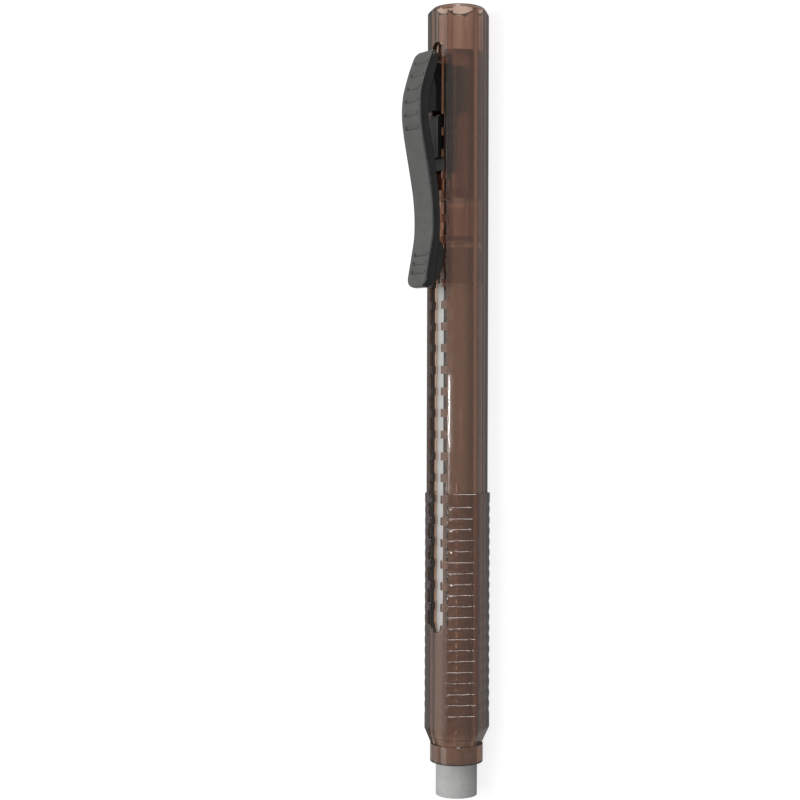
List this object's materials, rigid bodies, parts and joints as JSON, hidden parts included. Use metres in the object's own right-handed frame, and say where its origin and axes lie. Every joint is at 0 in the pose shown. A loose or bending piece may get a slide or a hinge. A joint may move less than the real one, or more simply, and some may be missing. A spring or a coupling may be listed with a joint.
{
  "type": "click eraser pen",
  "caption": "Slim six-sided pen-style eraser: a clear slotted barrel, a sliding pocket clip that clicks forward, and a round eraser out of the nozzle.",
  "frame": {"origin": "below the middle of the pen's length, on the surface that the pen lies on", "axes": "+X along the pen towards its open rear end, +Z out of the slotted face that the clip slides on"},
  "size_m": [0.1288, 0.011, 0.0146],
  "materials": {
    "clear_smoke_plastic": "clear glossy smoke-brown moulding",
    "dark_grey_plastic": "satin opaque dark grey moulding",
    "holder_plastic": "clear smoke-brown moulding",
    "eraser_vinyl": "soft matt white vinyl"
  },
  "bodies": {
    "barrel": {"barrel": "clear_smoke_plastic"},
    "slider": {"clip": "dark_grey_plastic", "latch": "dark_grey_plastic", "eraser_holder": "holder_plastic"},
    "eraser": {"eraser": "eraser_vinyl"}
  },
  "joints": [
    {"name": "slider_slide", "type": "slide", "parent": "barrel", "child": "slider", "axis": [-1, 0, 0], "range_m": [0, 0.0735], "deforming": ["latch"]},
    {"name": "eraser_refill", "type": "slide", "parent": "slider", "child": "eraser", "axis": [-1, 0, 0], "range_m": [0, 0.0845]}
  ]
}
